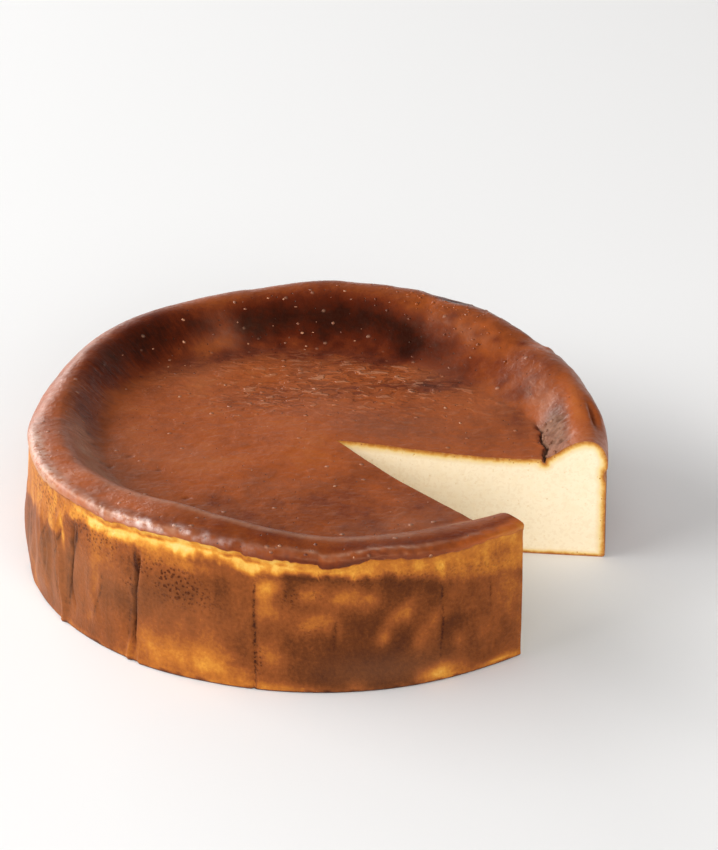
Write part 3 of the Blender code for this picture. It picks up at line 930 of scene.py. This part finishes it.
for name, lists in carried.items():
    store(name, np.concatenate(lists))
depth = np.zeros(len(points))
for edge, angle in ((0, FIRST_CUT), (-1, LAST_CUT)):
    off_plane = (places[:, :2] - WEDGE_TIP) @ rays(np.array([angle + 90]))[:, 0]
    on_plane = np.nonzero(abs(off_plane) < 1e-4)[0]
    on_plane = on_plane[on_plane >= skin_count]
    profile = places[[TIP_TOP, *[ring[edge] for ring in rings]]]
    depth[on_plane] = to_line(places[on_plane], profile)
store("depth", depth)
print("deepest point of a cut face is", depth.max().round(1), "mm from the skin")

# %% [markdown]
# ## Finishes
# A finish is a small net of nodes. One function adds a node with its settings, values
# and links. Values in a dictionary go to the sockets of those names. Values in brackets
# go to the sockets in their order, so a Map Range has its value, the range it comes from
# and the range it goes to. Colours are written as the eye sees them, and a function turns
# them to the linear values that light is reckoned in. A pattern's scale is one over the
# size of its lumps.

# %% Helpers for finishes
def linear(code):
    """A hex colour as linear values with alpha."""
    parts = [int(code[i : i + 2], 16) / 255 for i in (1, 3, 5)]
    return [p / 12.92 if p <= 0.04045 else ((p + 0.055) / 1.055) ** 2.4 for p in parts] + [1]


def per(size_mm):
    """The scale of a pattern whose lumps have that size."""
    return 1 / (size_mm * MM)


def connect(tree, node, inputs):
    """Gives a node its values and links, by the sockets' names or in their order."""
    for name, value in inputs.items() if isinstance(inputs, dict) else enumerate(inputs):
        named = [socket for socket in node.inputs if name in (socket.identifier, socket.name)]
        socket = named[0] if named else node.inputs[name]
        if isinstance(value, bpy.types.NodeSocket):
            tree.links.new(value, socket)
        else:
            socket.default_value = value


def add(tree, kind, inputs=(), output=None, stops=(), **settings):
    """Adds a node, with its settings and its values or links, and gives back an output."""
    node = tree.nodes.new(kind if "Node" in kind else "ShaderNode" + kind)
    for name, value in settings.items():
        setattr(node, name, value)
    connect(tree, node, inputs)
    for number, (place, colour) in enumerate(stops):
        elements = node.color_ramp.elements
        element = elements[number] if number < len(elements) else elements.new(1)
        element.position = place
        element.color = linear(colour)
    return node.outputs[output] if output else next(s for s in node.outputs if s.enabled)


def finish(name):
    """A new material with the principled shader, and its tree and shader."""
    material = bpy.data.materials.new(name)
    material.use_nodes = True
    return material, material.node_tree, material.node_tree.nodes["Principled BSDF"]


print("a 2 mm pattern has scale", per(2))

# %% [markdown]
# The top crust is caramelised custard with a thin film of fat: a satin reddish brown,
# mottled in patches of a centimetre and in grains of a millimetre, with small open
# pores. The film makes it reflect the window softly. The wrinkled skin has short ridges
# along X, and the rim's inner slope has fine streaks that run down it.

# %% Patterns of the burnt crust
STREAK_RADIUS = 90
STREAK_STRETCH = 0.16

crust, tree, shader = finish("burnt crust")
place = add(tree, "TexCoord", output="Object")
paint = {
    name: add(tree, "Attribute", output="Fac", attribute_name=name)
    for name in ("browning", "bloom_and_sheen", "wrinkled", "streaked", "torn", "gloss_and_painted_glints")
}
patches, grains, dimples = (
    add(tree, "TexNoise", {"Vector": place, "Scale": per(size_mm), "Detail": detail, "Roughness": sharp})
    for size_mm, detail, sharp in ((16, 3, 0.6), (2.4, 3, 0.6), (5.5, 2, 0.5))
)
stretched = add(tree, "Mapping", {"Vector": place, "Scale": (0.5, 1, 1)})
dashes = add(tree, "TexNoise", {"Vector": stretched, "Scale": per(2.5), "Detail": 0.7, "Distortion": 0.7})
raised, sunk = (
    add(tree, "Math", (add(tree, "MapRange", (dashes, *reach)), paint["wrinkled"]), operation="MULTIPLY")
    for reach in ((0.58, 0.7), (0.45, 0.35))
)
along_x = add(tree, "SeparateXYZ", (place,), output="X")
away = add(tree, "Math", (along_x, -1), operation="MULTIPLY")
turn = add(tree, "Math", (along_x.node.outputs["Y"], away), operation="ARCTAN2")
turn = add(tree, "Math", (turn, STREAK_RADIUS * MM), operation="MULTIPLY")
flattened = add(tree, "Mapping", {"Vector": place, "Scale": (STREAK_STRETCH, STREAK_STRETCH, 0)})
inward = add(tree, "VectorMath", (flattened,), output="Value", operation="LENGTH")
hairs = add(tree, "CombineXYZ", (turn, inward))
hairs = add(tree, "TexNoise", {"Vector": hairs, "Scale": per(1.5), "Detail": 3, "Roughness": 0.6})
hairs = add(tree, "MapRange", (hairs, 0.35, 0.65, -0.5, 0.5))
hairs = add(tree, "Math", (hairs, paint["streaked"]), operation="MULTIPLY")
pores, pimples = (
    add(tree, "TexVoronoi", {"Vector": place, "Scale": per(size_mm)}, output="Distance")
    for size_mm in (3.6, 8)
)
pores = add(tree, "MapRange", (pores, 0.10, 0.05))
pimples = add(tree, "MapRange", (pimples, 0.12, 0.04))
print("the crust's patterns have", len(tree.nodes), "nodes")

# %% Colour and gloss of the burnt crust
CRUST_TONES = [
    (0, "#b5742f"), (0.22, "#a85a26"), (0.42, "#9c4c20"), (0.55, "#86401b"), (0.68, "#6c2c12"),
    (0.82, "#4f1a09"), (1, "#2c0b04"),
]
BLOOM_AND_SHEEN_TINT = "#b5866c"
PAINTED_GLINT_TINT = "#e8d0c8"  # a painted highlight on the bead above the lip
FAT_TINT = "#f4c8a0"
CRUST_ROUGHNESS = (0.28, 0.46)
CRUST_NOISE_MIDDLE = 0.33  # half of what patches, grains and dimples add

browning = add(tree, "Math", (paint["browning"], CRUST_NOISE_MIDDLE), operation="SUBTRACT")
# The sunk dashes are painted darker and the raised ones lighter, as painted shade and light on the
# wrinkles.
for pattern, amount in (
    (patches, 0.34), (grains, 0.2), (dimples, 0.12), (sunk, 0.14), (raised, -0.1), (hairs, 0.15),
    (pores, 0.3),
):
    browning = add(tree, "Math", (pattern, amount, browning), operation="MULTIPLY_ADD")
# Pale bloom, with painted sheen on the rim at the left and painted glints on the raised dashes and
# pimples.
bloom_and_sheen_share = add(tree, "MapRange", (grains, 0.35, 0.65, 0.45, 0.95))
bloom_and_sheen_share = add(tree, "Math", (bloom_and_sheen_share, paint["bloom_and_sheen"]), operation="MULTIPLY")
for pattern in (raised, pimples):
    bloom_and_sheen_share = add(tree, "Math", (pattern, 0.4, bloom_and_sheen_share), operation="MULTIPLY_ADD")
# Painted highlights mixed into the colour on the bead, broken up by the grains; the same places are also
# glossier.
painted_glints = add(tree, "MapRange", (grains, 0.36, 0.62, 0.12, 0.82))
painted_glints = add(tree, "Math", (painted_glints, paint["gloss_and_painted_glints"]), operation="MULTIPLY")
colour = add(tree, "ValToRGB", (browning,), stops=CRUST_TONES)
for amount, tint in ((bloom_and_sheen_share, BLOOM_AND_SHEEN_TINT), (painted_glints, PAINTED_GLINT_TINT)):
    blend = {"Factor_Float": amount, "A_Color": colour, "B_Color": linear(tint)}
    colour = add(tree, "Mix", blend, data_type="RGBA")
roughness = add(tree, "MapRange", (grains, 0.3, 0.7, *CRUST_ROUGHNESS))
for pattern, amount in ((paint["torn"], 0.3), (paint["gloss_and_painted_glints"], -0.16)):
    roughness = add(tree, "Math", (pattern, amount, roughness), operation="MULTIPLY_ADD")
height = dimples
for pattern, amount in (
    (grains, 0.5), (raised, 1.1), (sunk, -0.5), (pimples, 0.8), (pores, -0.5), (hairs, 0.3)
):
    height = add(tree, "Math", (pattern, amount, height), operation="MULTIPLY_ADD")
connect(tree, shader, {
    "Base Color": colour,
    "Roughness": roughness,
    "Normal": add(tree, "Bump", {"Height": height, "Distance": 0.5 * MM, "Strength": 0.8}),
    "IOR": 1.45,
    "Specular IOR Level": 0.42,
    "Specular Tint": linear(FAT_TINT),
})
print("crust has", len(tree.nodes), "nodes")

# %% [markdown]
# The side browned against the paper. It is duller than the top, and its colours run from
# the yellow of set custard through amber to brown. In places steam left small dark pits,
# and narrow folds left a broken dark line.

# %% Browned side
SIDE_TONES = [
    (0, "#e2bd72"), (0.14, "#dcad52"), (0.28, "#cd8b34"), (0.44, "#b06827"), (0.62, "#874821"),
    (0.82, "#5d2f14"), (1, "#38160d"),
]
SIDE_DUST = "#9a6746"
PIT_COLOUR = "#4a1f0a"
LINE_HALF_WIDTH = 0.6

side, tree, shader = finish("browned side")
place = add(tree, "TexCoord", output="Object")
paint = {
    name: add(tree, "Attribute", output="Fac", attribute_name=name)
    for name in ("browning", "bloom_and_sheen", "pitted", "line_distance", "line_strength")
}
upright = add(tree, "Mapping", {"Vector": place, "Scale": (1, 1, 0.55)})
patches = add(tree, "TexNoise", {"Vector": upright, "Scale": per(6), "Detail": 4, "Roughness": 0.6})
grains = add(tree, "TexNoise", {"Vector": place, "Scale": per(1.3), "Detail": 3, "Roughness": 0.6})
pits = add(tree, "TexVoronoi", {"Vector": place, "Scale": per(1.4)}, output="Distance")
pits = add(tree, "Math", (grains, -0.7, pits), operation="MULTIPLY_ADD")
pits = add(tree, "MapRange", (pits, 0.04, -0.08))
pits = add(tree, "Math", (pits, paint["pitted"]), operation="MULTIPLY")
lines = add(tree, "Math", (paint["line_distance"],), operation="ABSOLUTE")
lines = add(tree, "MapRange", (lines, LINE_HALF_WIDTH * MM, 0))
broken = add(tree, "MapRange", (grains, 0.46, 0.58, 0.05))
for part in (paint["line_strength"], broken):
    lines = add(tree, "Math", (lines, part), operation="MULTIPLY")

SIDE_NOISE_MIDDLE = 0.255  # half of what patches and grains add
browning = add(tree, "Math", (paint["browning"], SIDE_NOISE_MIDDLE), operation="SUBTRACT")
for pattern, amount in ((patches, 0.24), (grains, 0.27), (lines, 0.42)):
    browning = add(tree, "Math", (pattern, amount, browning), operation="MULTIPLY_ADD")
colour = add(tree, "ValToRGB", (browning,), stops=SIDE_TONES)
pit_colour_share = add(tree, "Math", (pits, 0.85), operation="MULTIPLY")
for amount, tint in ((paint["bloom_and_sheen"], SIDE_DUST), (pit_colour_share, PIT_COLOUR)):
    blend = {"Factor_Float": amount, "A_Color": colour, "B_Color": linear(tint)}
    colour = add(tree, "Mix", blend, data_type="RGBA")
height = patches
for pattern, amount in ((grains, 0.7), (pits, -0.8), (lines, -1)):
    height = add(tree, "Math", (pattern, amount, height), operation="MULTIPLY_ADD")
connect(tree, shader, {
    "Base Color": colour,
    "Roughness": 0.5,
    "Normal": add(tree, "Bump", {"Height": height, "Distance": 0.4 * MM, "Strength": 0.85}),
    "IOR": 1.45,
    "Specular IOR Level": 0.18,
    "Specular Tint": linear(FAT_TINT),
})
print("side has", len(tree.nodes), "nodes")

# %% [markdown]
# The cut shows the set custard: pale cream, a little glossy, with tiny closed pores that
# the knife opened. Towards the skin it goes yellow and amber within three millimetres,
# and a thin burnt line runs along the floor.

# %% Cut custard
CUSTARD_TONES = [
    (0, "#9e5b20"), (0.18, "#c08030"), (0.34, "#dcab58"), (0.5, "#edd191"), (0.74, "#f1dab0"),
    (1, "#f7e6c6"),
]
SPECK_COLOUR = "#d9b57c"
TONES_DEPTH = 4
BURNT_LINE = (0.2, 2.64)  # from where to where it fades, in millimetres above the floor

custard, tree, shader = finish("cut custard")
place = add(tree, "TexCoord", output="Object")
clots = add(tree, "TexNoise", {"Vector": place, "Scale": per(2.6), "Detail": 3, "Roughness": 0.6})
pores = add(tree, "TexVoronoi", {"Vector": place, "Scale": per(1.7)}, output="Distance")
pores = add(tree, "MapRange", (pores, 0.22, 0.12))
chosen_pores = add(tree, "MapRange", (clots, 0.5, 0.62))
pores = add(tree, "Math", (pores, chosen_pores), operation="MULTIPLY")
upward = add(tree, "SeparateXYZ", (place,), output="Z")
upward = add(tree, "MapRange", (upward, *(end * MM for end in BURNT_LINE)))
deep = add(tree, "Attribute", output="Fac", attribute_name="depth")
deep = add(tree, "MapRange", (deep, 0, TONES_DEPTH))
deep = add(tree, "Math", (deep, upward), operation="MINIMUM")
deep = add(tree, "Math", (deep, 0.22), operation="SUBTRACT")  # half of what the clots add
for pattern, amount in ((clots, 0.44), (pores, -0.4)):
    deep = add(tree, "Math", (pattern, amount, deep), operation="MULTIPLY_ADD")
colour = add(tree, "ValToRGB", (deep,), stops=CUSTARD_TONES)
specks = add(tree, "TexNoise", {"Vector": place, "Scale": per(1.3), "Detail": 1})
specks = add(tree, "MapRange", (specks, 0.52, 0.62, 0, 0.15))
blend = {"Factor_Float": specks, "A_Color": colour, "B_Color": linear(SPECK_COLOUR)}
height = add(tree, "Math", (pores, -1, clots), operation="MULTIPLY_ADD")
connect(tree, shader, {
    "Base Color": add(tree, "Mix", blend, data_type="RGBA"),
    "Roughness": 0.5,
    "Normal": add(tree, "Bump", {"Height": height, "Distance": 0.3 * MM, "Strength": 0.5}),
    "IOR": 1.4,
})
print("custard has", len(tree.nodes), "nodes")

# %% [markdown]
# Below, the paper lay flat on the hot tin. The custard there is evenly browned, with
# darker rings where it boiled against the paper.

# %% Burnt base
BASE_TONES = [(0, "#c4853f"), (0.45, "#95592c"), (0.7, "#6a3c20"), (1, "#3a2014")]

base, tree, shader = finish("burnt base")
place = add(tree, "TexCoord", output="Object")
patches = add(tree, "TexNoise", {"Vector": place, "Scale": per(22), "Detail": 5, "Roughness": 0.65})
cells = add(tree, "TexVoronoi", {"Vector": place, "Scale": per(7)}, output="Distance")
browning = add(tree, "Math", (cells, 0.35, patches), operation="MULTIPLY_ADD")
connect(tree, shader, {
    "Base Color": add(tree, "ValToRGB", (browning,), stops=BASE_TONES),
    "Roughness": 0.6,
    "Normal": add(tree, "Bump", {"Height": browning, "Distance": 0.4 * MM, "Strength": 0.4}),
})
for material in (crust, side, custard, base):
    mesh.materials.append(material)
print("finishes:", [material.name for material in mesh.materials])

# %% [markdown]
# ## The small things on the crust
# Burst bubbles sit on the top as pale beads, crumbs lie where the crust tore, and scales
# of crust lift off the rim where it blistered. Each kind is scattered over the cake with
# Geometry Nodes: points are strewn where the painted mask is high, each point gets a
# small ball with its own size and turn, and noise makes every ball different. The points
# carry the painted values with them, so a crumb has the colour of the crust below it.

# %% The tree that scatters
def scatter_tree(name, mask, material):
    """Nodes that strew small shapes over the part of a mesh where the mask is high."""
    tree = bpy.data.node_groups.new(name, "GeometryNodeTree")
    tree.interface.new_socket("Geometry", in_out="INPUT", socket_type="NodeSocketGeometry")
    for label in ("Density", "Smallest", "Largest", "Flatness", "Wobble"):
        tree.interface.new_socket(label, in_out="INPUT", socket_type="NodeSocketFloat")
    tree.interface.new_socket("Seed", in_out="INPUT", socket_type="NodeSocketInt")
    tree.interface.new_socket("Geometry", in_out="OUTPUT", socket_type="NodeSocketGeometry")
    given = tree.nodes.new("NodeGroupInput").outputs
    density = add(tree, "GeometryNodeInputNamedAttribute", {"Name": mask}, data_type="FLOAT")
    density = add(tree, "Math", (density, given["Density"]), operation="MULTIPLY")
    strewn = {"Mesh": given["Geometry"], "Density": density, "Seed": given["Seed"]}
    points = add(tree, "GeometryNodeDistributePointsOnFaces", strewn)
    sizes = {"Min_001": given["Smallest"], "Max_001": given["Largest"], "Seed": given["Seed"]}
    length = add(tree, "FunctionNodeRandomValue", sizes, data_type="FLOAT")
    shares = {"Min_001": 0.4, "Max_001": 1.2, "Seed": 99}
    share = add(tree, "FunctionNodeRandomValue", shares, data_type="FLOAT")
    width, height = (
        add(tree, "Math", (length, part), operation="MULTIPLY") for part in (share, given["Flatness"])
    )
    strewn = {
        "Points": points,
        "Instance": add(tree, "GeometryNodeMeshIcoSphere", {"Radius": 0.5, "Subdivisions": 1}),
        "Rotation": points.node.outputs["Rotation"],
        "Scale": add(tree, "CombineXYZ", (length, width, height)),
    }
    strewn = add(tree, "GeometryNodeInstanceOnPoints", strewn)
    real = add(tree, "GeometryNodeRealizeInstances", {"Geometry": strewn})
    noise = add(tree, "TexNoise", {"Scale": per(1.1)}, output="Color")
    centred = add(tree, "VectorMath", (noise, (0.5, 0.5, 0.5)), operation="SUBTRACT")
    offset = add(tree, "VectorMath", {"Vector": centred, "Scale": given["Wobble"]}, operation="SCALE")
    real = add(tree, "GeometryNodeSetPosition", {"Geometry": real, "Offset": offset})
    real = add(tree, "GeometryNodeSetShadeSmooth", {"Geometry": real})
    real = add(tree, "GeometryNodeSetMaterial", {"Geometry": real, "Material": material})
    tree.links.new(real, tree.nodes.new("NodeGroupOutput").inputs["Geometry"])
    return tree


# %% Scatter bubbles, crumbs and scales
def scatter(name, mask, material, **values):
    """Strews one kind of small thing and keeps it as a plain mesh."""
    thing = bpy.data.objects.new(name, mesh)
    bpy.context.collection.objects.link(thing)
    modifier = thing.modifiers.new(name, "NODES")
    modifier.node_group = scatter_tree(name, mask, material)
    for socket in modifier.node_group.interface.items_tree:
        if socket.name in values:
            modifier[socket.identifier] = values[socket.name]
    made = bpy.data.meshes.new_from_object(thing.evaluated_get(bpy.context.evaluated_depsgraph_get()))
    thing.modifiers.clear()
    thing.data = made
    made.name = name
    places = np.zeros(3 * len(made.vertices))
    made.vertices.foreach_get("co", places)
    places = np.clip(places.reshape(-1, 3), *CAD_BOX)
    made.vertices.foreach_set("co", places.ravel())
    print(name, "has", len(made.polygons), "faces")
    return thing


BUBBLE_TONES = [(0.38, "#6c341d"), (0.66, "#bd835f")]

bubble, tree, shader = finish("burst bubble")
place = add(tree, "TexCoord", output="Object")
mottle = add(tree, "TexNoise", {"Vector": place, "Scale": per(3), "Detail": 1})
colour = add(tree, "ValToRGB", (mottle,), stops=BUBBLE_TONES)
connect(tree, shader, {"Base Color": colour, "Roughness": 0.5})
small_things = [
    scatter(name, mask, material, Density=density, Smallest=smallest * MM, Largest=largest * MM,
            Flatness=flatness, Wobble=wobble * MM, Seed=seed)
    for name, mask, material, density, smallest, largest, flatness, wobble, seed in (
        ("burst_bubbles", "bubbly", bubble, 2.4e4, 0.4, 1.7, 0.3, 0.6, 3),
        ("crumbs", "crumbly", crust, 1.0e5, 0.5, 2.2, 0.6, 0.9, 5),
        ("crust_scales", "flaky", crust, 9.0e4, 0.8, 2, 0.25, 0.6, 8),
    )
]

# %% [markdown]
# ## Light and floor
# A wide window at the left gives the crust its soft sheen, a low one at the back left
# lights the far rim, and two weaker lamps in front open the shadows. The sky is brightest
# at the horizon, so that the floor stays pale and the upright side gets light too.

# %% Light and floor
FLOOR_REACH = 6
SKY = [  # height of the direction, from level to straight up
    (0, "#ffffff"), (0.18, "#ffffff"), (0.26, "#7c7c7c"), (0.6, "#7c7c7c"), (0.66, "#595959"),
]
CAKE_MIDDLE = Vector((0, 0, 0.03))

scene = bpy.context.scene
scene.view_settings.view_transform = "Standard"
floor_mesh = bpy.data.meshes.new("floor")
corners = [(x * FLOOR_REACH, y * FLOOR_REACH, 0) for x, y in ((-1, -1), (1, -1), (1, 1), (-1, 1))]
floor_mesh.from_pydata(corners, [], [(0, 1, 2, 3)])
floor = bpy.data.objects.new("floor", floor_mesh)
bpy.context.collection.objects.link(floor)
paper, tree, shader = finish("white paper")
connect(tree, shader, {"Base Color": linear("#f1f0ef"), "Roughness": 0.9})
floor_mesh.materials.append(paper)

for name, place, width, height, power in (
    ("window", (-3.2, 0, 1.7), 4.5, 1.6, 170),
    ("low window", (-2, 2.6, 0.95), 2.5, 1, 45),
    ("front", (0.8, -3.4, 1.5), 3, 1.2, 64),
    ("front top", (0.2, -2.2, 2.6), 3, 2, 29),
):
    light = bpy.data.lights.new(name, "AREA")
    light.shape = "RECTANGLE"
    light.size = width
    light.size_y = height
    light.energy = power
    softbox = bpy.data.objects.new(name, light)
    softbox.location = place
    softbox.rotation_euler = (CAKE_MIDDLE - Vector(place)).to_track_quat("-Z", "Y").to_euler()
    softbox.visible_camera = False
    bpy.context.collection.objects.link(softbox)

world = bpy.data.worlds.new("studio")
world.use_nodes = True
tree = world.node_tree
upward = add(tree, "SeparateXYZ", (add(tree, "TexCoord", output="Generated"),), output="Z")
sky = add(tree, "ValToRGB", (upward,), stops=SKY)
connect(tree, tree.nodes["Background"], {"Color": sky, "Strength": 1})
scene.world = world

# %% [markdown]
# ## Onto the body
# The cake and the small things on it ride on the one body and take the solid's place.

# %% Attach to the body
for piece in (cake, *small_things):
    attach(piece, "root")
    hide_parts("cheesecake")
